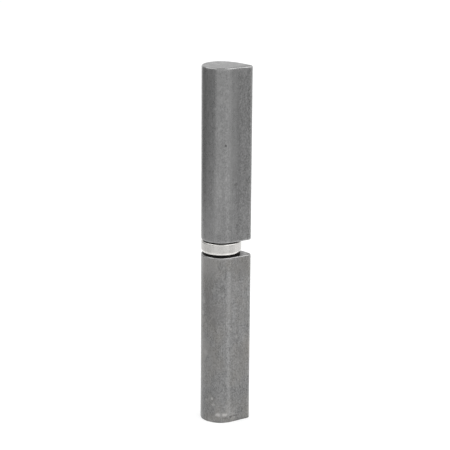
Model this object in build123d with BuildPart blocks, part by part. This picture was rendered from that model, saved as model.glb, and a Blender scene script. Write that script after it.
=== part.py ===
"""Weld-on drop hinge: two drawn-steel leaves on a fixed pin, with a shielded thrust ball bearing between.

Millimetres, +Z up along the pin. The origin is on the pin axis, on the lower leaf's bottom face,
and both tails point along +X.
"""

import os
from math import radians, sqrt, tan

from build123d import *

os.makedirs("parts", exist_ok=True)

# leaves: a round barrel drawn out to a narrow tail
hinge_length = 180.0
barrel_radius = 10.0
tail_reach = 14.6
tail_tip_radius = 2.3
leaf_wall = 4.0
end_chamfer = 0.35

# pin: pressed into the lower leaf, running in the upper leaf
pin_radius = barrel_radius - leaf_wall
pin_seat_depth = 40.0
pin_engagement = 40.0
pin_chamfer = 1.0
pin_running_clearance = 0.05
pin_end_clearance = 2.0
bore_chamfer = 0.5
drill_point_angle = 118.0

# thrust bearing: two flat-track races, a caged ball ring between them and a drawn sheet shell around them
ball_radius = 1.0
ball_count = 13
ball_play = 0.03
race_bore_clearance = 0.1
race_margin = 0.475
race_thickness = 1.2
race_chamfer = 0.3
race_step = 1.3
lower_stand = 1.0
upper_stand = 0.55
race_foot_inset = 0.6
race_foot_clearance = 0.1
shell_wall = 0.6
shell_clearance = 0.3
shell_end_play = 0.2
shell_bend_radius = 1.2
shell_top_bevel = 0.35
cage_thickness = 1.0
cage_bore_clearance = 0.15
cage_rim_clearance = 0.1

# bearing radii, worked outwards from the pin
race_bore_radius = pin_radius + race_bore_clearance
ball_circle_radius = race_bore_radius + race_margin + ball_radius
lower_race_radius = ball_circle_radius + ball_radius + race_margin
hub_radius = lower_race_radius - race_step
shell_inner_radius = lower_race_radius + shell_clearance
shell_outer_radius = shell_inner_radius + shell_wall
shell_mouth_radius = hub_radius + shell_clearance
shell_inner_bevel = (shell_bend_radius - shell_wall) * (2 - sqrt(2))
race_foot_radius = shell_outer_radius - race_foot_inset
pocket_radius = ball_radius + ball_play

# bearing heights, stacked upwards from the lower leaf
race_gap = 2 * (ball_radius + ball_play)
lower_neck_height = race_foot_clearance + shell_wall + shell_end_play
lower_hub_height = lower_stand + shell_wall + shell_end_play
upper_hub_height = upper_stand + shell_wall
bearing_height = lower_hub_height + race_thickness + race_gap + race_thickness + upper_hub_height
leaf_length = (hinge_length - bearing_height) / 2
lower_seat = leaf_length
upper_seat = leaf_length + bearing_height
ball_plane = lower_seat + lower_hub_height + race_thickness + race_gap / 2
shell_bottom = lower_seat + lower_stand
shell_top = upper_seat - upper_stand

# the upper leaf's bore leaves room above the pin's end
upper_bore_radius = pin_radius + pin_running_clearance
upper_bore_depth = pin_engagement + pin_end_clearance

# profile planes with local x out from the pin axis and local y up or down
lower_mouth = Plane(origin=(0, 0, lower_seat), x_dir=(1, 0, 0), z_dir=(0, 1, 0))
upper_mouth = Plane(origin=(0, 0, upper_seat), x_dir=(1, 0, 0), z_dir=(0, -1, 0))
below_balls = Plane(origin=(0, 0, ball_plane), x_dir=(1, 0, 0), z_dir=(0, 1, 0))
above_balls = Plane(origin=(0, 0, ball_plane), x_dir=(1, 0, 0), z_dir=(0, -1, 0))

# leaves: the drop section drawn along Z, both ends broken, a blind drilled bore from the bearing end
leaves = (
    ("lower_leaf", 0.0, lower_mouth, pin_radius, pin_seat_depth),
    ("upper_leaf", upper_seat, upper_mouth, upper_bore_radius, upper_bore_depth),
)
for name, base, mouth, bore_radius, bore_depth in leaves:
    point_depth = bore_radius / tan(radians(drill_point_angle / 2))
    with BuildPart() as leaf:
        with BuildSketch(Plane.XY.offset(base)):
            Circle(barrel_radius)
            with Locations((tail_reach - tail_tip_radius, 0)):
                Circle(tail_tip_radius)
            make_hull()
        extrude(amount=leaf_length)
        chamfer(leaf.faces().filter_by(Axis.Z).edges(), length=end_chamfer)
        with BuildSketch(mouth):
            with BuildLine():
                Polyline(
                    (0, 0),
                    (bore_radius + bore_chamfer, 0),
                    (bore_radius, bore_chamfer),
                    (bore_radius, bore_depth),
                    (0, bore_depth + point_depth),
                    close=True,
                )
            make_face()
        revolve(axis=Axis.Z, mode=Mode.SUBTRACT)
    leaf.part.label = name
    export_step(leaf.part, f"parts/{name}.step")

# hinge pin: plain bar, seated to the full depth of the lower leaf's bore
with BuildPart() as hinge_pin:
    with BuildSketch(Plane.XY.offset(lower_seat - pin_seat_depth)):
        Circle(pin_radius)
    extrude(amount=pin_seat_depth + bearing_height + pin_engagement)
    chamfer(hinge_pin.faces().filter_by(Axis.Z).edges(), length=pin_chamfer)
hinge_pin.part.label = "hinge_pin"
export_step(hinge_pin.part, "parts/hinge_pin.step")

# races: flat ball tracks, each profile worked away from the balls; the lower one is grooved for the shell's
# rolled edge and stands on a broad foot, the upper one has a narrow hub that stands out of the shell
race_face = race_gap / 2
race_back = race_face + race_thickness
with BuildPart() as lower_race:
    with BuildSketch(below_balls):
        with BuildLine():
            Polyline(
                (race_bore_radius, race_face),
                (lower_race_radius, race_face),
                (lower_race_radius, race_back - race_chamfer),
                (lower_race_radius - race_chamfer, race_back),
                (hub_radius, race_back),
                (hub_radius, race_back + lower_neck_height),
                (race_foot_radius, race_back + lower_neck_height),
                (race_foot_radius, race_back + lower_hub_height),
                (race_bore_radius, race_back + lower_hub_height),
                close=True,
            )
        make_face()
    revolve(axis=Axis.Z)
lower_race.part.label = "lower_race"
export_step(lower_race.part, "parts/lower_race.step")

with BuildPart() as upper_race:
    with BuildSketch(above_balls):
        with BuildLine():
            Polyline(
                (race_bore_radius, race_face),
                (shell_inner_radius, race_face),
                (shell_inner_radius, race_back - race_chamfer),
                (shell_inner_radius - race_chamfer, race_back),
                (hub_radius, race_back),
                (hub_radius, race_back + upper_hub_height),
                (race_bore_radius, race_back + upper_hub_height),
                close=True,
            )
        make_face()
    revolve(axis=Axis.Z)
upper_race.part.label = "upper_race"
export_step(upper_race.part, "parts/upper_race.step")

# bearing shell: one drawn sheet cup, bent in round the lower race's groove and rolled over the upper race
with BuildPart() as bearing_shell:
    with BuildSketch(Plane.XZ) as shell_section:
        with BuildLine():
            Polyline(
                (shell_mouth_radius, shell_bottom),
                (shell_outer_radius, shell_bottom),
                (shell_outer_radius, shell_top),
                (shell_mouth_radius, shell_top),
                (shell_mouth_radius, shell_top - shell_wall),
                (shell_inner_radius, shell_top - shell_wall),
                (shell_inner_radius, shell_bottom + shell_wall),
                (shell_mouth_radius, shell_bottom + shell_wall),
                close=True,
            )
        make_face()
        inner_corner = shell_section.vertices().group_by(Axis.X)[1].sort_by(Axis.Y)[0]
        chamfer(inner_corner, length=shell_inner_bevel)
        top_corner = shell_section.vertices().group_by(Axis.X)[-1].sort_by(Axis.Y)[-1]
        chamfer(top_corner, length=shell_top_bevel)
        bottom_corner = shell_section.vertices().group_by(Axis.X)[-1].sort_by(Axis.Y)[0]
        fillet(bottom_corner, radius=shell_bend_radius)
    revolve(axis=Axis.Z)
bearing_shell.part.label = "bearing_shell"
export_step(bearing_shell.part, "parts/bearing_shell.step")

# ball cage: a flat ring with one drilled pocket for each ball
with BuildPart() as ball_cage:
    with BuildSketch(Plane.XY.offset(ball_plane)):
        Circle(lower_race_radius - cage_rim_clearance)
        Circle(pin_radius + cage_bore_clearance, mode=Mode.SUBTRACT)
        with PolarLocations(ball_circle_radius, ball_count):
            Circle(pocket_radius, mode=Mode.SUBTRACT)
    extrude(amount=cage_thickness / 2, both=True)
ball_cage.part.label = "ball_cage"
export_step(ball_cage.part, "parts/ball_cage.step")

# balls: evenly spaced around the races' track
ball_places = PolarLocations(ball_circle_radius, ball_count).local_locations
for number, place in enumerate(ball_places, start=1):
    with BuildPart() as ball:
        with Locations((place.position.X, place.position.Y, ball_plane)):
            Sphere(ball_radius)
    ball.part.label = f"bearing_ball_{number:02d}"
    export_step(ball.part, f"parts/bearing_ball_{number:02d}.step")
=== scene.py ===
import math

import bpy
import numpy as np
from mathutils import Matrix, Vector


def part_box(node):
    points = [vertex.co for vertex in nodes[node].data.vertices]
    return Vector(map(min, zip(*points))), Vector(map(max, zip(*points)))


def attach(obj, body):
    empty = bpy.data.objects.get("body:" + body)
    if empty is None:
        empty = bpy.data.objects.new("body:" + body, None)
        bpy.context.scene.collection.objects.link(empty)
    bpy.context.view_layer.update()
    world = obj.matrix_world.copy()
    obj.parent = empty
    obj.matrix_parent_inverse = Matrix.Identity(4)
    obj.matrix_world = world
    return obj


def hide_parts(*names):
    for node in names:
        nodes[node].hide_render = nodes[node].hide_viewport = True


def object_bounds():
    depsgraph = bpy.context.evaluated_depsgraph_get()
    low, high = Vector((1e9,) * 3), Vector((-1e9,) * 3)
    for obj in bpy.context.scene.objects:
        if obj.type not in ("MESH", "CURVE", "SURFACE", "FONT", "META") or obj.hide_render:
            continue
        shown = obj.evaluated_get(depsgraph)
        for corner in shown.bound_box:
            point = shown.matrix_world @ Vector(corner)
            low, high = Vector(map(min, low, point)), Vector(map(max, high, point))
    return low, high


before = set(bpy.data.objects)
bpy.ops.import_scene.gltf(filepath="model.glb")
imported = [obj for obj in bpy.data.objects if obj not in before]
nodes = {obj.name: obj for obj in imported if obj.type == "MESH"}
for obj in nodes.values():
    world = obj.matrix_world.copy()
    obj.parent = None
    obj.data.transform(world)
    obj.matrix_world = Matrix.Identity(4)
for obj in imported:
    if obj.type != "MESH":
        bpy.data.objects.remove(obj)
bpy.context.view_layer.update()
mm = 0.001
print("frame loaded:", len(nodes), "CAD nodes")


# mesh tools

# rings[i, j] is point j of ring i. Neighbouring rings are joined by quads. With two poles the first
# and last ring are closed by fans; without poles the last ring is joined to the first, as on a tyre.
def skinRings(name, rings, poles=None):
    ringCount, around = rings.shape[:2]
    points = rings.reshape(-1, 3)
    spans = ringCount if poles is None else ringCount - 1
    row = np.arange(spans)[:, None]
    col = np.arange(around)[None, :]
    nextRow = (row + 1) % ringCount
    nextCol = (col + 1) % around
    corners = [
        row * around + col,
        row * around + nextCol,
        nextRow * around + nextCol,
        nextRow * around + col,
    ]
    quads = np.stack(np.broadcast_arrays(*corners), axis=-1).reshape(-1, 4)
    tris = np.zeros((0, 3), dtype=np.int64)
    if poles is not None:
        loop = np.arange(around)
        after = (loop + 1) % around
        lastRing = (ringCount - 1) * around
        startPole = np.full(around, len(points))
        startFan = np.stack([startPole, after, loop], axis=-1)
        endFan = np.stack([startPole + 1, lastRing + loop, lastRing + after], axis=-1)
        tris = np.vstack([startFan, endFan])
        points = np.vstack([points, poles])
    # a signed volume below zero means that the skin is inside out
    halves = np.vstack([quads[:, [0, 1, 2]], quads[:, [0, 2, 3]], tris])
    a, b, c = points[halves].transpose(1, 0, 2)
    if np.einsum("ij,ij->i", a, np.cross(b, c)).sum() < 0:
        quads, tris = quads[:, ::-1], tris[:, ::-1]
    corner = np.concatenate([quads.ravel(), tris.ravel()])
    start = np.concatenate([np.arange(len(quads)) * 4, len(quads) * 4 + np.arange(len(tris)) * 3])
    mesh = bpy.data.meshes.new(name)
    mesh.vertices.add(len(points))
    mesh.vertices.foreach_set("co", points.astype(np.float32).ravel())
    mesh.loops.add(len(corner))
    mesh.loops.foreach_set("vertex_index", corner.astype(np.int32))
    mesh.polygons.add(len(start))
    mesh.polygons.foreach_set("loop_start", start.astype(np.int32))
    mesh.update(calc_edges=True)
    mesh.polygons.foreach_set("use_smooth", np.ones(len(start), dtype=bool))
    piece = bpy.data.objects.new(name, mesh)
    bpy.context.scene.collection.objects.link(piece)
    return piece


# one number for each vertex, which the materials read by name
def paintVertices(piece, name, values):
    layer = piece.data.attributes.new(name, "FLOAT", "POINT")
    layer.data.foreach_set("value", np.asarray(values, dtype=np.float32).ravel())


# even noise with soft features: white noise blurred by a bell curve in the frequency domain,
# periodic both ways, scaled to a mean of 0 and a spread of 1
def softNoise(rng, rows, cols, rowLength, colLength):
    white = rng.standard_normal((rows, cols))
    rowFreq = np.fft.fftfreq(rows)[:, None] * rowLength
    colFreq = np.fft.fftfreq(cols)[None, :] * colLength
    bell = np.exp(-2.0 * (rowFreq**2 + colFreq**2))
    blurred = np.fft.ifft2(np.fft.fft2(white) * bell).real
    return (blurred - blurred.mean()) / blurred.std()


# a row of stations between two values, closer together at both ends
def easedSteps(start, end, count):
    return start + (end - start) * (0.5 - 0.5 * np.cos(np.linspace(0.0, np.pi, count)))


# what each new piece stands for: the CAD node it hides and the body it moves with
def standIn(piece, node, body):
    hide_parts(node)
    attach(piece, body)
    print(piece.name, "stands for", node, "with", len(piece.data.polygons), "faces")
    return piece


# leaves

leafLook = {
    "tipRadius": 2.3 * mm,
    "boreEdge": 0.5 * mm,
    "drillAngle": 118.0,
    "around": 360,
    "coneRows": 4,
    "coneStart": 0.04,          # innermost ring of the drill point, as a share of the bore's radius
    "wallRows": 8,
    "faceRows": 14,
    "edgeRows": 9,
    "sideRows": 150,
    "capRows": 20,
    "capStart": 0.02,           # innermost ring of the closed end, as a share of the barrel's radius
    "faceInset": 1.15,          # where the flat ends begin, in edge radii in from the outline
    "sideStart": 1.6,           # where the plain sides begin, in edge radii from the end
    "drawLines": 0.0035 * mm,   # depth of the fine lines left by the drawing die
    "peel": 0.010 * mm,         # depth of the faint unevenness over a few millimetres
    "edgeVariation": 0.16,      # how uneven the broken edges are, as a share of their width
    "edgeLimits": (-1.8, 2.2),  # least and most of that unevenness, in spreads
    "wearAndHighlightStart": 0.6,           # where the rubbing and the painted edge highlight begin to fade, in edge radii
    "wearAndHighlightReach": 0.45 * mm,     # how far it runs on to the sides
    "leastFading": 0.7,         # how slowly it fades at the least
    "wearAndHighlightInset": 0.8,           # where it stops on the way to the flat ends, in edge radii
    "grimeAndFootShadeReach": 0.8 * mm,     # how far the grime and the painted contact shade climb from a standing end
}
# soft noises on a leaf: mean, spread, and length in rows along the leaf and in points around it
leafNoise = {
    "edge": (0.0, 1.0, 1.0, 26.0),
    "fineLine": (0.0, 1.0, 1.0, 1.4),
    "broadLine": (0.0, 0.6, 1.0, 5.0),
    "lineFade": (0.75, 0.25, 40.0, 24.0),
    "peel": (0.5, 0.25, 4.5, 7.0),
    "wearAndHighlightFading": (1.6, 0.5, 3.0, 11.0),
    "grimeAndFootShade": (0.85, 0.5, 1.0, 17.0),
}
# mouthUp says whether the bearing end is the upper one. Edges are the radii of the broken edges, and
# rubbed (wear with a painted edge highlight) and grime (grime with painted contact shade) say how bright
# and how dark the ends are: the bearing end first, then the closed end.
leaves = {
    "lower_leaf": {
        "body": "lower", "seed": 11, "mouthUp": True, "bore": 6.0 * mm, "depth": 40.0 * mm,
        "edges": (0.6 * mm, 0.3 * mm), "rubbedAndHighlight": (0.7, 0.2), "grimeAndFootShade": (0.0, 1.0),
    },
    "upper_leaf": {
        "body": "upper", "seed": 23, "mouthUp": False, "bore": 6.05 * mm, "depth": 42.0 * mm,
        "edges": (0.6 * mm, 0.75 * mm), "rubbedAndHighlight": (0.8, 0.55), "grimeAndFootShade": (0.0, 0.0),
    },
}


# drop section: a barrel arc and a tip arc joined by two flats. Along the outline the centre slides
# from the tip's centre to the pin axis and the radius grows from the tip's to the barrel's, each in
# proportion over a flat, and a point is its centre plus its radius along the outward normal.
def dropSection(barrel, tip, reach, count):
    centre = reach - tip
    flatNormal = math.acos((barrel - tip) / centre)
    flat = math.sqrt(centre**2 - (barrel - tip) ** 2)
    fullTurn = 2 * math.pi
    tipArc = tip * flatNormal
    barrelArc = barrel * (fullTurn - 2 * flatNormal)
    breaks = np.cumsum([0.0, tipArc, flat, barrelArc, flat, tipArc])
    along = np.arange(count) / count * breaks[-1]
    backNormal = fullTurn - flatNormal
    angle = np.interp(along, breaks, [0, flatNormal, flatNormal, backNormal, backNormal, fullTurn])
    middle = np.interp(along, breaks, [centre, centre, 0, 0, centre, centre])
    radius = np.interp(along, breaks, [tip, tip, barrel, barrel, tip, tip])
    normal = np.stack([np.cos(angle), np.sin(angle)], axis=-1)
    points = radius[:, None] * normal
    points[:, 0] += middle
    return points, normal


# rows of one stretch of a leaf. Each row has the share of circle in its ring, the inset of the outline
# and the drop that follows the uneven edge, both in edge widths, the circle's radius, and the distance
# from the bearing end.
def band(mix, inset, follow, circle, away):
    columns = np.broadcast_arrays(*np.atleast_1d(mix, inset, follow, circle, away))
    return np.stack(columns, axis=-1).astype(float)


# rows of a whole leaf: drill point, bore, its mouth, bearing face, broken edge, sides, broken edge and
# closed end. The broken edges are quarter circles from the flat end to the side.
def leafRows(leaf, barrel, length, point):
    mouthEdge, closedEdge = leaf["edges"]
    bore = leaf["bore"]
    mouth = bore + leafLook["boreEdge"]
    cone = np.linspace(leafLook["coneStart"], 1.0, leafLook["coneRows"])
    wall = np.linspace(leaf["depth"], leafLook["boreEdge"], leafLook["wallRows"])[1:]
    turn = np.linspace(math.pi / 2, 0.0, leafLook["edgeRows"])
    edgeIn = 1.0 - np.cos(turn)
    edgeUp = 1.0 - np.sin(turn)
    faceMix = easedSteps(1.0, 0.0, leafLook["faceRows"])[1:]
    capMix = easedSteps(0.0, 1.0, leafLook["capRows"])[:-1]
    flatInset = leafLook["faceInset"]
    start = leafLook["sideStart"]
    sides = np.linspace(start * mouthEdge, length - start * closedEdge, leafLook["sideRows"])
    return np.vstack([
        band(1.0, 0.0, 0.0, cone * bore, leaf["depth"] + point * (1.0 - cone)),
        band(1.0, 0.0, 0.0, bore, wall),
        band(1.0, 0.0, 0.0, mouth, 0.0),
        band(faceMix, flatInset, 0.0, mouth, 0.0),
        band(0.0, edgeIn, edgeUp, 0.0, edgeUp * mouthEdge),
        band(0.0, 0.0, 0.0, 0.0, sides),
        band(0.0, edgeIn[::-1], -edgeUp[::-1], 0.0, length - edgeUp[::-1] * closedEdge),
        band(capMix, flatInset, 0.0, leafLook["capStart"] * barrel, length),
    ])


# leaf: rings carried from the drill point up the bore, out over the bearing end, along the drawn sides
# and in over the closed end. A ring is the drop outline set in along its normals, mixed towards a circle
# on the end faces and equal to that circle in the bore; a height map then presses the sides inwards.
def makeLeaf(node):
    low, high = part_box(node)
    leaf = leaves[node]
    rng = np.random.default_rng(leaf["seed"])
    count = leafLook["around"]
    barrel = -low.x
    length = high.z - low.z
    point = leaf["bore"] / math.tan(math.radians(leafLook["drillAngle"] / 2))
    outline, normal = dropSection(barrel, leafLook["tipRadius"], high.x, count)
    radial = outline / np.linalg.norm(outline, axis=1, keepdims=True)
    rows = leafRows(leaf, barrel, length, point)
    mix, inset, follow, circle, away = rows.T[..., None]
    onSide = (mix == 0.0) & (inset < 1.0)

    # each row takes the value of its own end, where a pair is given
    def byEnd(pair):
        return np.where(away < length / 2, *pair)

    def noise(kind, rowCount=1):
        mean, spread, rowLength, colLength = leafNoise[kind]
        return mean + spread * softNoise(rng, rowCount, count, rowLength, colLength)

    # broken edges vary along the outline and differ between the two ends
    uneven = np.clip([noise("edge")[0], noise("edge")[0]], *leafLook["edgeLimits"])
    edge = byEnd(leaf["edges"])
    edgeWidth = edge * (1.0 + leafLook["edgeVariation"] * byEnd(uneven))
    awayGrid = away + follow * (edgeWidth - edge)

    # sides: fine drawing lines that fade in and out along the bar, and a faint unevenness
    lines = np.abs(noise("fineLine") + noise("broadLine"))
    lines = leafLook["drawLines"] * lines * noise("lineFade", len(rows))
    press = lines + leafLook["peel"] * noise("peel", len(rows))
    press = np.where(onSide, np.clip(press, 0.0, None), 0.0)

    flatRing = outline - (inset * edgeWidth + press)[..., None] * normal
    ring = (1.0 - mix[..., None]) * flatRing + (mix * circle)[..., None] * radial
    mouthHeight, towards = (high.z, -1.0) if leaf["mouthUp"] else (low.z, 1.0)
    heights = mouthHeight + towards * awayGrid
    poles = np.zeros((2, 3))
    poles[:, 2] = mouthHeight + towards * np.array([leaf["depth"] + point, length])
    rings = np.concatenate([ring, heights[..., None]], axis=-1)
    piece = skinRings(node + ".drawn", rings, poles)

    # wear with a painted edge highlight is full on the broken edges and dies away along the sides, grime
    # with painted contact shade does the same in patches, and cut is 1 on the sawn, faced and drilled
    # surfaces, where both poles lie
    toEnd = np.minimum(awayGrid, length - awayGrid)
    fading = np.clip(noise("wearAndHighlightFading", len(rows)), leafLook["leastFading"], None) / leafLook["wearAndHighlightReach"]
    wearAndHighlight = np.exp(-np.clip(toEnd - leafLook["wearAndHighlightStart"] * edge, 0.0, None) * fading)
    wearAndHighlight = np.where(onSide & (inset < leafLook["wearAndHighlightInset"]), wearAndHighlight * byEnd(leaf["rubbedAndHighlight"]), 0.0)
    grimeAndFootShade = np.exp(-toEnd / leafLook["grimeAndFootShadeReach"]) * np.clip(noise("grimeAndFootShade"), 0.0, 1.0)
    grimeAndFootShade = np.where(onSide, grimeAndFootShade * byEnd(leaf["grimeAndFootShade"]), 0.0)
    cut = np.where(mix == 0.0, np.clip(inset, 0.0, 1.0), 1.0) * np.ones_like(wearAndHighlight)
    for name, values, atPoles in (("wearAndHighlight", wearAndHighlight, 0.0), ("grimeAndFootShade", grimeAndFootShade, 0.0), ("cut", cut, 1.0)):
        paintVertices(piece, name, np.append(values, [atPoles, atPoles]))
    return standIn(piece, node, leaf["body"])


# round pieces

roundLook = {
    "around": 192,
    "cornerSteps": 5,
    "flatGuard": 1.7,   # the extra points that keep the flats flat, in corner lengths from the corner
}


# a closed or open profile of (radius, height) points in mm; each corner becomes a parabola between the
# points a little way along its two sides, with one more point further out on each side
def softCorners(profile, soft, closed):
    profile = np.asarray(profile, dtype=float) * mm
    toBefore = np.roll(profile, 1, axis=0) - profile
    toAfter = np.roll(profile, -1, axis=0) - profile
    stepBack = toBefore / np.linalg.norm(toBefore, axis=1, keepdims=True) * soft * mm
    stepOn = toAfter / np.linalg.norm(toAfter, axis=1, keepdims=True) * soft * mm
    share = np.linspace(0.0, 1.0, roundLook["cornerSteps"])[:, None, None]
    bend = profile + (1 - share) ** 2 * stepBack + share**2 * stepOn
    guard = roundLook["flatGuard"]
    rounded = np.vstack([[profile + guard * stepBack], bend, [profile + guard * stepOn]])
    rounded = rounded.transpose(1, 0, 2)
    return rounded.reshape(-1, 2) if closed else rounded[1:-1].reshape(-1, 2)


# the profile swung round the pin axis; ripple takes a little off the radius
def swingProfile(name, profile, around, ripple=0.0, poles=None):
    turn = np.arange(around) / around * 2 * math.pi
    radius = profile[:, :1] - ripple * np.ones(around)
    height = np.repeat(profile[:, 1:], around, axis=1)
    rings = np.stack([radius * np.cos(turn), radius * np.sin(turn), height], axis=-1)
    return skinRings(name, rings, poles)


# an arc in a profile: the centre plus the radius along each direction
def arc(centre, radius, turn):
    return np.stack([centre[0] + radius * np.cos(turn), centre[1] + radius * np.sin(turn)], axis=-1)


shellLook = {
    "wall": 0.6 * mm,
    "mouth": 8.05 * mm,
    "bend": 1.2 * mm,
    "topEdge": 0.6 * mm,
    "soft": 0.05 * mm,
    "bendSteps": 14,
    "edgeSteps": 7,
    "wallSteps": 24,
    "around": 300,
    "lipStart": 1.3,             # where the flat top begins, in top edge radii from the rim
    "seed": 5,
    "dent": 0.010 * mm,
    "dentLength": (5.0, 18.0),   # in points along the profile and around the pin
    "bendBurnishAndHighlight": 2.0,          # how steeply the burnish and painted highlight set in on the lower bend
    "burnishAndHighlightReach": 0.3 * mm,     # how far it runs up the wall
    "topBurnishAndHighlight": (1.2, 0.75),   # the same steepness on the top edge, and its most
}


# bearing shell: a C-shaped sheet section swung round the pin. The lower outer corner is a quarter circle
# of the bend radius, the inner one a quarter circle smaller by the wall, and the top outer corner a small
# quarter circle.
def makeShell():
    low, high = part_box("bearing_shell")
    wall, mouth, bend, soft = (shellLook[key] for key in ("wall", "mouth", "bend", "soft"))
    topEdge = shellLook["topEdge"]
    around = shellLook["around"]
    outer = high.x
    turn = np.linspace(-math.pi / 2, 0.0, shellLook["bendSteps"])
    bendCentre = (outer - bend, low.z + bend)
    outerBend = arc(bendCentre, bend, turn)
    innerBend = arc(bendCentre, bend - wall, turn)[::-1]
    wallHeights = np.linspace(low.z + bend, high.z - topEdge, shellLook["wallSteps"])[1:-1]
    outerWall = np.stack([np.full(len(wallHeights), outer), wallHeights], axis=-1)
    tip = np.linspace(0.0, math.pi / 2, shellLook["edgeSteps"])
    rolledTop = arc((outer - topEdge, high.z - topEdge), topEdge, tip)
    bevel = 2 * soft
    topInside = high.z - wall
    topLip = np.array([
        [outer - shellLook["lipStart"] * topEdge, high.z],
        [mouth + bevel + soft, high.z],
        [mouth, high.z - bevel],
        [mouth, topInside + bevel],
        [mouth + bevel, topInside],
        [outer - wall - soft, topInside],
        [outer - wall, topInside - soft],
    ])
    lowInside = low.z + wall
    lowLip = np.array([
        [mouth + bevel, lowInside],
        [mouth, lowInside - bevel],
        [mouth, low.z + bevel],
        [mouth + bevel, low.z],
    ])
    profile = np.vstack([outerBend, outerWall, rolledTop, topLip, innerBend, lowLip])
    rng = np.random.default_rng(shellLook["seed"])
    dents = softNoise(rng, len(profile), around, *shellLook["dentLength"])
    ripple = shellLook["dent"] * np.clip(0.5 + 0.5 * dents, 0.0, 2.0)
    shell = swingProfile("bearing_shell.sheet", profile, around, ripple)
    # 1 where the rolling tool burnished the sheet, with a painted highlight over the burnish: the lower
    # bend and the top edge
    aboveBend = (wallHeights - low.z - bend) / shellLook["burnishAndHighlightReach"]
    burnishAndHighlightRows = np.zeros(len(profile))
    wallStart = len(outerBend)
    topStart = wallStart + len(outerWall)
    topEnd = topStart + len(rolledTop)
    steep, most = shellLook["topBurnishAndHighlight"]
    burnishAndHighlightRows[:wallStart] = np.clip(shellLook["bendBurnishAndHighlight"] * np.cos(turn), 0.0, 1.0)
    burnishAndHighlightRows[wallStart:topStart] = np.clip(1.0 - aboveBend, 0.0, 1.0)
    burnishAndHighlightRows[topStart:topEnd] = np.clip(steep * np.sin(2 * tip), 0.0, most)
    paintVertices(shell, "burnishAndHighlight", np.repeat(burnishAndHighlightRows, around))
    return standIn(shell, "bearing_shell", "bearing_top")


# turned pieces, outline in mm from the piece's lowest point: the pin is a solid bar, the races are rings
turned = {
    "hinge_pin": {
        "body": "lower", "slot": "pin_steel", "soft": 0.18, "solid": True,
        "outline": [(0.0, 0.0), (5.0, 0.0), (6.0, 1.0), (6.0, 86.41), (5.0, 87.41), (0.0, 87.41)],
    },
    "lower_race": {
        "body": "lower", "slot": "black_steel", "soft": 0.05, "solid": False,
        "outline": [(6.1, 0.0), (9.35, 0.0), (9.35, 0.9), (7.75, 0.9), (7.75, 1.8), (8.75, 1.8),
                    (9.05, 2.1), (9.05, 3.0), (6.1, 3.0)],
    },
    "upper_race": {
        "body": "bearing_top", "slot": "race_steel", "soft": 0.05, "solid": False,
        "outline": [(6.1, 0.0), (9.35, 0.0), (9.35, 0.9), (9.05, 1.2), (7.75, 1.2), (7.75, 2.35),
                    (6.1, 2.35)],
    },
}


# turned piece: its outline with softened corners, swung round the pin; a solid one ends in two poles
def makeTurned(node):
    part = turned[node]
    low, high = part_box(node)
    profile = softCorners(part["outline"], part["soft"], closed=not part["solid"])
    profile[:, 1] += low.z
    poles = np.array([[0.0, 0.0, low.z], [0.0, 0.0, high.z]]) if part["solid"] else None
    piece = swingProfile(node + ".turned", profile, roundLook["around"], poles=poles)
    return standIn(piece, node, part["body"])


# material tools

# a value that is another node's socket is linked, any other is set
def feed(tree, socket, value):
    if isinstance(value, bpy.types.NodeSocket):
        tree.links.new(value, socket)
    else:
        socket.default_value = value


# a node of the given kind; its inputs go by socket name, or by place as in0, in1 and so on
def addNode(tree, kind, settings=None, **inputs):
    node = tree.nodes.new("ShaderNode" + kind)
    for key, value in (settings or {}).items():
        setattr(node, key, value)
    for key, value in inputs.items():
        byPlace = key.startswith("in") and key[2:].isdigit()
        feed(tree, node.inputs[int(key[2:]) if byPlace else key], value)
    return node


def bareMaterial(name):
    material = bpy.data.materials.new(name)
    material.use_nodes = True
    tree = material.node_tree
    tree.nodes.clear()
    return material, tree, tree.nodes.new("ShaderNodeOutputMaterial").inputs["Surface"]


def newMetal(name):
    material, tree, surface = bareMaterial(name)
    shader = addNode(tree, "BsdfPrincipled", Metallic=1.0)
    tree.links.new(shader.outputs["BSDF"], surface)
    coords = tree.nodes.new("ShaderNodeTexCoord").outputs["Object"]
    return material, tree, shader, coords


def finishMetal(tree, shader, colour, rough, height, strength, depth):
    bump = addNode(tree, "Bump", Strength=strength, Distance=depth, Height=height)
    tree.links.new(colour, shader.inputs["Base Color"])
    tree.links.new(rough, shader.inputs["Roughness"])
    tree.links.new(bump.outputs[0], shader.inputs["Normal"])


# noise read at its own scale along x, y and z, in features per metre
def noiseAt(tree, coords, scale, detail, rough, shift=(0.0, 0.0, 0.0)):
    mapping = addNode(tree, "Mapping", Vector=coords, Scale=scale, Location=shift)
    noise = addNode(tree, "TexNoise", Vector=mapping.outputs[0], Scale=1.0,
                    Detail=detail, Roughness=rough)
    return noise.outputs["Fac"]


def mathNode(tree, operation, a, b, clamp=False):
    return addNode(tree, "Math", {"operation": operation, "use_clamp": clamp}, in0=a, in1=b).outputs[0]


# a noise counted from its middle value of one half, times its weight
def centred(tree, noise, weight):
    return mathNode(tree, "MULTIPLY", mathNode(tree, "SUBTRACT", noise, 0.5), weight)


# the base plus a weighted sum of the named noises
def weighted(tree, base, noises, weights):
    total = base
    for name, weight in weights.items():
        total = mathNode(tree, "ADD", centred(tree, noises[name], weight), total)
    return total


def mixColour(tree, factor, a, b):
    node = addNode(tree, "Mix", {"data_type": "RGBA"}, Factor=factor, in6=a, in7=b)
    return node.outputs[2]


def grey(level, warm=0.0):
    return (level * (1 + warm), level, level * (1 - warm), 1.0)


def ramp(tree, factor, stops):
    node = addNode(tree, "ValToRGB", Fac=factor)
    elements = node.color_ramp.elements
    elements[0].position, elements[0].color = stops[0]
    elements[1].position, elements[1].color = stops[-1]
    for position, colour in stops[1:-1]:
        elements.new(position).color = colour
    return node.outputs["Color"]


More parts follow.
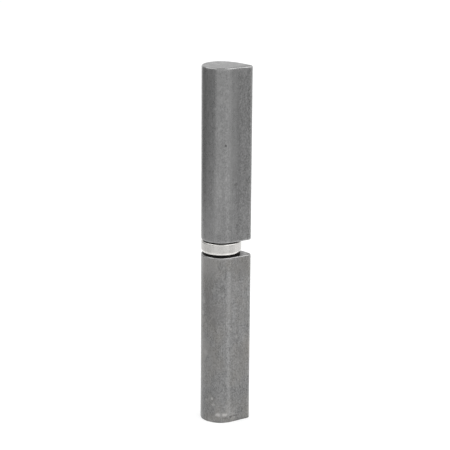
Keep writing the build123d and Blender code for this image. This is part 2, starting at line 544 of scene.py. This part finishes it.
def greyRamp(tree, factor, stops):
    return ramp(tree, factor, [(position, grey(level)) for position, level in stops])


# bare drawn steel

# noises: features per metre along x, y and z, detail and roughness
steelNoise = {
    "lines": ((2600, 2600, 34), 3.0, 0.65),
    "broad": ((520, 520, 22), 2.0, 0.5),
    "mottle": ((560, 560, 300), 4.0, 0.62),
    "cloud": ((110, 110, 46), 3.0, 0.55),
    "grain": ((3200, 3200, 2000), 2.0, 0.7),
    "speckle": ((1500, 1500, 1050), 2.0, 0.6),
    "sawn": ((150, 900, 20), 3.0, 0.6),
    "blotch": ((330, 240, 20), 3.0, 0.6),
}
# how much each noise counts in each trait
steelWeights = {
    "shade": {"lines": 0.35, "broad": 0.20, "mottle": 0.6, "cloud": 0.45},
    "fine": {"speckle": 1.0, "grain": 0.6},
    "face": {"sawn": 2.0, "blotch": 1.6, "mottle": 0.7, "speckle": 0.8, "grain": 0.5},
    "rubbedAndHighlight": {"mottle": 0.9, "grain": 0.5},
    "rough": {"mottle": 0.12, "cloud": 0.10, "lines": 0.08, "speckle": 0.14},
    "height": {"lines": 0.6, "broad": 0.25, "mottle": 0.25, "speckle": 0.9, "grain": 0.6},
}
drawnLook = {
    "sideStops": (0.05, 0.5, 0.95),
    "faceStops": ((0.0, 0.15), (0.5, 0.25), (1.0, 0.37)),
    "bloom": ((95, 95, 60), 3.0, 0.6, (0.9, 0.2, 0.4)),
    "bloomStops": ((0.42, 0.0), (0.72, 1.0)),
    "bloomColour": (0.262, 0.243, 0.213, 1.0),
    "fades": {"clouds": (0.5, 1.2), "marks": (0.6, 1.05)},
    "ragged": 2.4,
    # rubbed edges are lightened by wear and a painted edge highlight; a standing end is darkened by grime
    # and painted contact shade
    "rubbedAndHighlightShare": 0.85,
    "rubbedAndHighlightLevel": 0.48,
    "grimeAndFootShadeShare": 0.85,
    "grimeAndFootShadeLevel": 0.09,
    "roughness": 0.30,
    "rubbedSmoother": 0.04,
    "bumpStrength": 0.25,
    "bumpDepth": 0.05 * mm,
}
# dark, middle and light are the grey levels of the sides, warm the share of the warm bloom, grain the
# strength of the fine grain, coarser its growth per metre towards the tail, face the level of cut ends,
# set lower on the lower leaf as painted shade of its bearing face under the ring and the upper leaf.
# Clouds and marks: place and size in mm along x, y and z, grey level, strength.
steelLook = {
    "lower_leaf": {
        "dark": 0.135, "middle": 0.228, "light": 0.345, "warm": 0.4, "grain": 1.42, "coarser": 14.0,
        # face is lower here: painted shade under the ring and the upper leaf
        "face": 0.88, "markWarm": 0.022, "shift": (0.3, 0.1, 0.7),
        "clouds": [
            ((-6.3, -7.7, 81.5), (4.5, 4.5, 5.0), 0.31, 0.55),
            ((-5.6, -8.2, 64.0), (3.5, 3.5, 9.0), 0.175, 0.55),
            ((-7.7, -6.4, 39.5), (3.5, 3.5, 5.0), 0.29, 0.5),
            ((10.3, -4.6, 36.0), (3.0, 3.0, 6.0), 0.185, 0.45),
            ((10.0, -4.8, 80.0), (5.5, 5.5, 8.0), 0.185, 0.45),
            ((-2.2, -9.76, 52.8), (2.6, 2.6, 2.2), 0.165, 0.5),
            ((5.3, -8.4, 67.0), (1.7, 1.7, 10.0), 0.285, 0.28),
            ((-1.0, -9.9, 57.0), (9.0, 6.0, 7.0), 0.185, 0.4),
            ((9.9, -1.0, 86.3), (1.1, 4.0, 0.8), 0.07, 0.85),       # painted shade of the ring on the bearing face beside it
            ((13.9, 0.2, 86.3), (1.6, 2.0, 0.5), 0.13, 0.85),       # dull tip of the bearing face
        ],
        "marks": [
            ((0.1, -10.0, 4.4), (1.7, 1.0, 1.0), 0.42, 0.95),       # two rubbed scuffs by the foot
            ((3.6, -9.35, 4.3), (1.8, 1.0, 1.0), 0.45, 0.95),
            ((6.15, -7.85, 2.75), (1.3, 1.3, 0.65), 0.08, 0.85),    # a dark scratch beside them
            ((7.55, -6.76, 3.15), (1.6, 1.6, 0.5), 0.11, 0.75),
            ((3.58, -9.34, 2.45), (1.0, 1.0, 0.35), 0.13, 0.6),
            ((-3.07, -9.52, 12.87), (0.7, 0.6, 0.8), 0.44, 0.8),    # bright nicks
            ((-2.5, -9.68, 9.6), (1.1, 0.6, 0.7), 0.38, 0.7),
            ((-6.2, -7.85, 11.4), (0.6, 0.6, 0.6), 0.36, 0.6),
            ((6.04, -7.97, 49.3), (0.7, 0.7, 0.7), 0.37, 0.6),
            ((8.53, -5.97, 45.0), (0.7, 0.7, 1.2), 0.34, 0.6),
            ((-7.7, -6.4, 62.9), (1.2, 1.2, 1.4), 0.34, 0.6),       # pale rubbed spots
            ((-8.25, -5.65, 56.8), (1.2, 1.2, 1.2), 0.34, 0.6),
            ((-6.6, -7.5, 36.4), (1.6, 1.6, 1.8), 0.33, 0.6),
        ],
    },
    "upper_leaf": {
        "dark": 0.155, "middle": 0.222, "light": 0.32, "warm": 0.0, "grain": 1.08, "coarser": 52.0,
        "face": 1.01, "markWarm": 0.0, "shift": (0.8, 0.5, 0.2),
        "clouds": [
            ((-7.2, -6.9, 124.0), (4.0, 4.0, 14.0), 0.18, 0.35),
            ((9.0, -5.5, 116.0), (2.2, 2.2, 4.0), 0.15, 0.4),
            ((6.9, -7.2, 128.5), (1.6, 1.6, 3.4), 0.15, 0.35),
            ((8.8, -5.75, 135.0), (1.2, 1.2, 50.0), 0.175, 0.45),   # painted shade: a darker streak down the flank, standing in for its darker reflection
            ((6.4, -7.7, 152.0), (2.2, 2.2, 42.0), 0.262, 0.65),    # painted highlight: a paler streak where the flank begins
            ((6.2, -6.6, 180.0), (1.9, 1.7, 0.8), 0.13, 0.85),      # a dull band on top, by its edge
            ((8.2, -5.0, 180.0), (1.9, 1.7, 0.8), 0.13, 0.85),
            ((10.2, -3.4, 180.0), (1.9, 1.7, 0.8), 0.13, 0.85),
            ((12.2, -1.2, 180.0), (2.0, 2.2, 0.8), 0.14, 0.85),
        ],
        "marks": [
            ((3.06, -9.52, 142.69), (0.5, 0.7, 0.55), 0.07, 0.8),   # a pit
            ((8.33, -6.1, 102.4), (0.8, 0.8, 1.0), 0.11, 0.6),      # dark rolled-in specks
            ((7.72, -6.59, 122.7), (0.9, 0.9, 1.2), 0.11, 0.6),
        ],
    },
}


# a ragged spot, 1 at its middle and 0 outside: distance from a place, counted in the spot's own sizes
# along x, y and z, and roughened by a noise; it fades between the two given distances
def spotAt(tree, coords, place, size, ragged, fade):
    local = addNode(tree, "Mapping", {"vector_type": "TEXTURE"}, Vector=coords,
                    Location=[value * mm for value in place], Scale=[value * mm for value in size])
    away = addNode(tree, "VectorMath", {"operation": "LENGTH"}, in0=local.outputs[0]).outputs["Value"]
    uneven = mathNode(tree, "ADD", away, centred(tree, ragged, drawnLook["ragged"]))
    inner, outer = fade
    return greyRamp(tree, mathNode(tree, "MULTIPLY", uneven, 0.5), [(inner / 2, 1.0), (outer / 2, 0.0)])


# bare drawn steel: lengthwise die lines, a mottled oxide bloom, fine grain and marks of use; brighter on
# rubbed edges by wear and a painted edge highlight, darker at a standing end by grime and painted contact
# shade; the cut ends carry the saw's straight lines
def drawnSteel(node):
    look = steelLook[node]
    material, tree, shader, coords = newMetal("drawnSteel." + node)
    noises = {key: noiseAt(tree, coords, *kind, look["shift"]) for key, kind in steelNoise.items()}
    wearAndHighlight, grimeAndFootShade, cut = (addNode(tree, "Attribute", {"attribute_name": name}).outputs["Fac"]
                        for name in ("wearAndHighlight", "grimeAndFootShade", "cut"))

    def blend(base, trait):
        return weighted(tree, base, noises, steelWeights[trait])

    def times(a, b, clamp=False):
        return mathNode(tree, "MULTIPLY", a, b, clamp)

    # the grain coarsens from the barrel's back towards the tail
    across = addNode(tree, "SeparateXYZ", in0=coords).outputs["X"]
    coarse = mathNode(tree, "ADD", times(across, look["coarser"]), look["grain"])
    shade = mathNode(tree, "ADD", blend(0.5, "shade"), times(blend(0.0, "fine"), coarse))
    levels = (look["dark"], look["middle"], look["light"])
    side = greyRamp(tree, shade, zip(drawnLook["sideStops"], levels))
    bloom = greyRamp(tree, noiseAt(tree, coords, *drawnLook["bloom"]), drawnLook["bloomStops"])
    side = mixColour(tree, times(bloom, look["warm"]), side, drawnLook["bloomColour"])
    faceStops = [(position, level * look["face"]) for position, level in drawnLook["faceStops"]]
    faced = greyRamp(tree, blend(0.5, "face"), faceStops)
    colour = mixColour(tree, cut, side, faced)
    for kind, fade in drawnLook["fades"].items():
        for place, size, level, strength in look[kind]:
            spot = spotAt(tree, coords, place, size, noises["speckle"], fade)
            colour = mixColour(tree, times(spot, strength), colour, grey(level, look["markWarm"]))
    # rubbed edges: wear, plus a painted edge highlight that lightens them
    rubbedAndHighlight = times(wearAndHighlight, blend(drawnLook["rubbedAndHighlightShare"], "rubbedAndHighlight"), True)
    colour = mixColour(tree, rubbedAndHighlight, colour, grey(drawnLook["rubbedAndHighlightLevel"]))
    # standing end: grime, plus painted contact shade that darkens it
    dirtAndFootShade = times(grimeAndFootShade, drawnLook["grimeAndFootShadeShare"])
    colour = mixColour(tree, dirtAndFootShade, colour, grey(drawnLook["grimeAndFootShadeLevel"]))
    smoother = times(rubbedAndHighlight, drawnLook["rubbedSmoother"])
    rough = mathNode(tree, "SUBTRACT", blend(drawnLook["roughness"], "rough"), smoother, True)
    finishMetal(tree, shader, colour, rough, blend(0.0, "height"),
                drawnLook["bumpStrength"], drawnLook["bumpDepth"])
    return material


# turned steel

turnedNoise = {
    "lines": ((70, 70, 5200), 3.0, 0.6),
    "cloud": ((320, 320, 420), 3.0, 0.6, (0.4, 0.2, 0.1)),
    "grain": ((4200, 4200, 4200), 2.0, 0.6),
    "film": ((210, 210, 160), 4.0, 0.65, (0.7, 0.9, 0.3)),
}
turnedWeights = {
    "shade": {"lines": 0.7, "cloud": 0.5, "grain": 0.35},
    "rough": {"cloud": 0.14, "lines": 0.08},
    "height": {"lines": 0.7, "grain": 0.3, "cloud": 0.4},
}
# shades are shares of a finish's level; film is the share of the greasy film
turnedLook = {
    "shades": ((0.15, 0.86), (0.5, 1.0), (0.85, 1.1)),
    "filmStops": ((0.38, 0.0), (0.7, 1.0)),
    "filmWarm": 0.06,
    "bumpStrength": 0.22,
    "bumpDepth": 0.04 * mm,
}
turnedFinish = {
    "brightPin": {"level": 0.50, "warm": 0.0, "roughness": 0.26, "film": 0.35, "filmLevel": 0.22},
    # the lower race is near black: partly a black finish, partly painted shade of the recess under the
    # shell
    "blackRaceAndRecessShade": {"level": 0.014, "warm": 0.0, "roughness": 0.5, "film": 0.5, "filmLevel": 0.008},
    "greasedRace": {"level": 0.14, "warm": 0.0, "roughness": 0.32, "film": 0.7, "filmLevel": 0.04},
    "cageBrass": {"level": 0.52, "warm": 0.4, "roughness": 0.34, "film": 0.3, "filmLevel": 0.12},
    "ballSteel": {"level": 0.66, "warm": 0.0, "roughness": 0.12, "film": 0.12, "filmLevel": 0.3},
}


# round metal: hair lines round the axis, soft cloudiness, a greasy film that darkens in patches
def turnedSteel(name):
    finish = turnedFinish[name]
    material, tree, shader, coords = newMetal(name)
    noises = {key: noiseAt(tree, coords, *kind) for key, kind in turnedNoise.items()}

    def blend(base, trait):
        return weighted(tree, base, noises, turnedWeights[trait])

    metal = ramp(tree, blend(0.5, "shade"), [(position, grey(share * finish["level"], finish["warm"]))
                                             for position, share in turnedLook["shades"]])
    patch = greyRamp(tree, noises["film"], turnedLook["filmStops"])
    film = mathNode(tree, "MULTIPLY", patch, finish["film"])
    colour = mixColour(tree, film, metal, grey(finish["filmLevel"], turnedLook["filmWarm"]))
    finishMetal(tree, shader, colour, blend(finish["roughness"], "rough"), blend(0.0, "height"),
                turnedLook["bumpStrength"], turnedLook["bumpDepth"])
    return material


# plated sheet

sheetNoise = {
    "drawn": ((900, 900, 60), 3.0, 0.6),
    "streak": ((330, 330, 40), 2.0, 0.5, (0.2, 0.7, 0.4)),
    "hair": ((80, 80, 5200), 2.0, 0.6),
    "cloud": ((420, 420, 420), 3.0, 0.6, (0.4, 0.2, 0.1)),
    "grain": ((1700, 1700, 2100), 2.0, 0.6),
}
sheetWeights = {
    "shade": {"drawn": 0.45, "streak": 0.45, "hair": 0.3, "cloud": 0.7, "grain": 1.6},
    "polishAndHighlight": {"cloud": 0.8, "streak": 0.5},
    "rough": {"cloud": 0.14, "streak": 0.10, "grain": 0.08},
    "height": {"drawn": 0.4, "hair": 0.5, "grain": 0.3, "cloud": 0.4},
}
sheetLook = {
    "level": 0.53,
    "red": 1.016,
    "blue": 0.966,
    "shades": ((0.1, 0.82), (0.5, 1.0), (0.9, 1.12)),
    # level of the burnished bends, partly a painted highlight
    "burnishAndHighlightLevel": 0.82,
    "burnishAndHighlightShare": 0.9,
    "roughness": 0.30,
    "burnishedRoughness": 0.2,
    "bumpStrength": 0.2,
    "bumpDepth": 0.04 * mm,
}


# plated sheet: satin, with faint upright draw lines and cloudiness; the bends that the rolling tool went
# over are smoother, and brighter by their burnish and a painted highlight
def platedSheet():
    material, tree, shader, coords = newMetal("platedSheet")
    noises = {key: noiseAt(tree, coords, *kind) for key, kind in sheetNoise.items()}

    def blend(base, trait):
        return weighted(tree, base, noises, sheetWeights[trait])

    def tinted(level):
        return (level * sheetLook["red"], level, level * sheetLook["blue"], 1.0)

    satin = ramp(tree, blend(0.5, "shade"), [(position, tinted(share * sheetLook["level"]))
                                             for position, share in sheetLook["shades"]])
    burnishAndHighlight = addNode(tree, "Attribute", {"attribute_name": "burnishAndHighlight"}).outputs["Fac"]
    polishAndHighlight = mathNode(tree, "MULTIPLY", burnishAndHighlight, blend(sheetLook["burnishAndHighlightShare"], "polishAndHighlight"), True)
    colour = mixColour(tree, polishAndHighlight, satin, tinted(sheetLook["burnishAndHighlightLevel"]))
    change = sheetLook["burnishedRoughness"] - sheetLook["roughness"]
    smoother = mathNode(tree, "MULTIPLY", polishAndHighlight, change)
    rough = mathNode(tree, "ADD", blend(sheetLook["roughness"], "rough"), smoother, True)
    finishMetal(tree, shader, colour, rough, blend(0.0, "height"),
                sheetLook["bumpStrength"], sheetLook["bumpDepth"])
    return material


def dress(piece, material):
    piece.data.materials.clear()
    piece.data.materials.append(material)


for node in leaves:
    dress(makeLeaf(node), drawnSteel(node))
dress(makeShell(), platedSheet())
dress(makeTurned("hinge_pin"), turnedSteel("brightPin"))
dress(makeTurned("lower_race"), turnedSteel("blackRaceAndRecessShade"))
dress(makeTurned("upper_race"), turnedSteel("greasedRace"))
dress(nodes["ball_cage"], turnedSteel("cageBrass"))
ballSteel = turnedSteel("ballSteel")
for name, node in nodes.items():
    if name.startswith("bearing_ball"):
        dress(node, ballSteel)
print("pieces and materials done")


# studio

studioLook = {
    "floorSize": 3.0,
    "floorGlow": 0.50,
    "floorAlbedo": 0.62,
    "worldFill": 0.80,
    "cardSteps": 24,
    "middle": (0.0, 0.0, 0.09),
}
# cards stand round the object, seen only in its metal: directions from the camera side, and for the two
# long edges the distance from the pin axis and the height
cards = {
    "leftCard": {"turn": (-95.0, -35.5), "near": (0.38, 0.0), "far": (0.38, 0.41), "level": 0.55},
    "leftBright": {"turn": (-60.0, -22.0), "near": (0.315, 0.0005), "far": (0.365, 0.0005), "level": 2.1},
    "backLeftCard": {"turn": (-142.0, -95.0), "near": (0.37, 0.0), "far": (0.37, 0.40), "level": 0.40},
    "rightMid": {"turn": (39.0, 57.0), "near": (0.42, 0.0), "far": (0.42, 0.45), "level": 0.97},
    "rightCard": {"turn": (57.0, 77.0), "near": (0.42, 0.0), "far": (0.42, 0.45), "level": 0.69},
    "rightFar": {"turn": (39.0, 80.0), "near": (0.30, 0.0005), "far": (0.42, 0.0005), "level": 0.83},
    "upperStrip": {"turn": (26.0, 38.0), "near": (0.14, 0.056), "far": (0.14, 0.20), "level": 1.33},
    "lowerStrip": {"turn": (36.0, 50.0), "near": (0.10, 0.0), "far": (0.10, 0.053), "level": 1.4},
    "footStrip": {"turn": (36.0, 50.0), "near": (0.012, 0.0006), "far": (0.09, 0.0006), "level": 1.5},
    "leftLow": {"turn": (-105.0, -25.0), "near": (0.13, 0.0), "far": (0.13, 0.05), "level": 0.80},
    "leftFloor": {"turn": (-140.0, -22.0), "near": (0.012, 0.0005), "far": (0.27, 0.0005), "level": 0.88},
    "frontFloor": {"turn": (-22.0, 36.0), "near": (0.012, 0.0005), "far": (0.19, 0.0005), "level": 0.99},
    "frontFar": {"turn": (-22.0, 30.0), "near": (0.19, 0.0005), "far": (0.33, 0.0005), "level": 0.80},
    "rightNear": {"turn": (38.0, 52.0), "near": (0.20, 0.0005), "far": (0.30, 0.0005), "level": 1.1},
    "tipFloor": {"turn": (84.0, 150.0), "near": (0.012, 0.0005), "far": (0.25, 0.0005), "level": 1.3},
    "rightFloor": {"turn": (52.0, 73.0), "near": (0.012, 0.0005), "far": (0.19, 0.0005), "level": 0.94},
    "overhead": {"turn": (-30.0, 30.0), "near": (0.62, 0.60), "far": (0.02, 0.95), "level": 0.5},
    "overheadBack": {"turn": (130.0, 230.0), "near": (0.75, 0.62), "far": (0.02, 0.95), "level": 0.55},
}
lamps = {
    "leftBox": {"place": (-0.74, -0.01, 0.91), "size": 0.9, "power": 3.6},
    "rightBox": {"place": (0.63, 0.01, 0.99), "size": 0.9, "power": 3.6},
}
cameraLook = {
    "azimuth": 6.738,
    "elevation": 16.708,
    "distance": 0.81962,
    "aim": (0.00176, 0.0002, 0.10042),
    "roll": 0.398,
    "lens": 133.254,
    "sensor": 36.0,
}


# 1 for rays that see the background as it is: straight from the camera, in metal or through glass
def seenRays(tree):
    path = tree.nodes.new("ShaderNodeLightPath")
    seen = mathNode(tree, "ADD", path.outputs["Is Camera Ray"], path.outputs["Is Glossy Ray"], True)
    return mathNode(tree, "ADD", seen, path.outputs["Is Transmission Ray"], True)


def stagePiece(name, points, faces, material):
    mesh = bpy.data.meshes.new(name)
    mesh.from_pydata(points, [], faces)
    piece = bpy.data.objects.new(name, mesh)
    bpy.context.scene.collection.objects.link(piece)
    dress(piece, material)
    return piece


# a place, and the turn that points an object's own -Z at a target
def aimedFrom(place, target):
    turn = (target - place).to_track_quat("-Z", "Y").to_matrix().to_4x4()
    return Matrix.Translation(place) @ turn


# floor: one square at the lowest point; white paper that glows a little where it is seen, so it stays
# white away from the object and keeps the soft shadow beside it
def makeFloor():
    half = studioLook["floorSize"] / 2
    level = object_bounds()[0][2]
    material, tree, surface = bareMaterial("paperFloor")
    paper = addNode(tree, "BsdfDiffuse", Color=grey(studioLook["floorAlbedo"]))
    strength = mathNode(tree, "MULTIPLY", seenRays(tree), studioLook["floorGlow"])
    glow = addNode(tree, "Emission", Color=grey(1.0), Strength=strength)
    both = addNode(tree, "AddShader", in0=paper.outputs[0], in1=glow.outputs[0])
    tree.links.new(both.outputs[0], surface)
    corners = [(-half, -half, level), (half, -half, level), (half, half, level), (-half, half, level)]
    stagePiece("floor", corners, [(0, 1, 2, 3)], material)


# card: straight lines between two arcs round the pin axis, a function of direction and of the share
# between the arcs
def makeCard(name, card):
    count = studioLook["cardSteps"]
    turn = np.radians(np.linspace(*card["turn"], count) + cameraLook["azimuth"])
    edges = np.array([card["near"], card["far"]])
    x = edges[:, :1] * np.sin(turn)
    y = -edges[:, :1] * np.cos(turn)
    z = np.repeat(edges[:, 1:], count, axis=1)
    points = np.stack([x, y, z], axis=-1).reshape(-1, 3)
    step = np.arange(count - 1)
    faces = np.stack([step, step + 1, step + 1 + count, step + count], axis=-1)
    material, tree, surface = bareMaterial(name)
    glow = addNode(tree, "Emission", Color=grey(card["level"]), Strength=1.0)
    tree.links.new(glow.outputs[0], surface)
    piece = stagePiece(name, points.tolist(), faces.tolist(), material)
    piece.visible_camera = False
    piece.visible_diffuse = False
    piece.visible_shadow = False
    piece.visible_transmission = False


def makeLamp(name, lamp):
    data = bpy.data.lights.new(name, "AREA")
    data.shape = "SQUARE"
    data.size = lamp["size"]
    data.energy = lamp["power"]
    light = bpy.data.objects.new(name, data)
    bpy.context.scene.collection.objects.link(light)
    light.matrix_world = aimedFrom(Vector(lamp["place"]), Vector(studioLook["middle"]))


# world: white to the camera and in mirrors, a softer white as fill light
def makeWorld():
    world = bpy.data.worlds.new("studio")
    bpy.context.scene.world = world
    world.use_nodes = True
    tree = world.node_tree
    tree.nodes.clear()
    fill = addNode(tree, "Background", Color=grey(1.0), Strength=studioLook["worldFill"])
    plain = addNode(tree, "Background", Color=grey(1.0), Strength=1.0)
    both = addNode(tree, "MixShader", Fac=seenRays(tree), in1=fill.outputs[0], in2=plain.outputs[0])
    output = tree.nodes.new("ShaderNodeOutputWorld")
    tree.links.new(both.outputs[0], output.inputs["Surface"])


def makeCamera():
    azimuth = math.radians(cameraLook["azimuth"])
    elevation = math.radians(cameraLook["elevation"])
    level = math.cos(elevation)
    back = Vector((math.sin(azimuth) * level, -math.cos(azimuth) * level, math.sin(elevation)))
    place = Vector(studioLook["middle"]) + back * cameraLook["distance"]
    data = bpy.data.cameras.new("camera")
    data.sensor_width = cameraLook["sensor"]
    data.lens = cameraLook["lens"]
    camera = bpy.data.objects.new("camera", data)
    bpy.context.scene.collection.objects.link(camera)
    roll = Matrix.Rotation(math.radians(cameraLook["roll"]), 4, "Z")
    camera.matrix_world = aimedFrom(place, Vector(cameraLook["aim"])) @ roll
    bpy.context.scene.camera = camera


makeFloor()
for name, card in cards.items():
    makeCard(name, card)
for name, lamp in lamps.items():
    makeLamp(name, lamp)
makeWorld()
makeCamera()
bpy.context.scene.view_settings.view_transform = "Standard"
print("studio done")
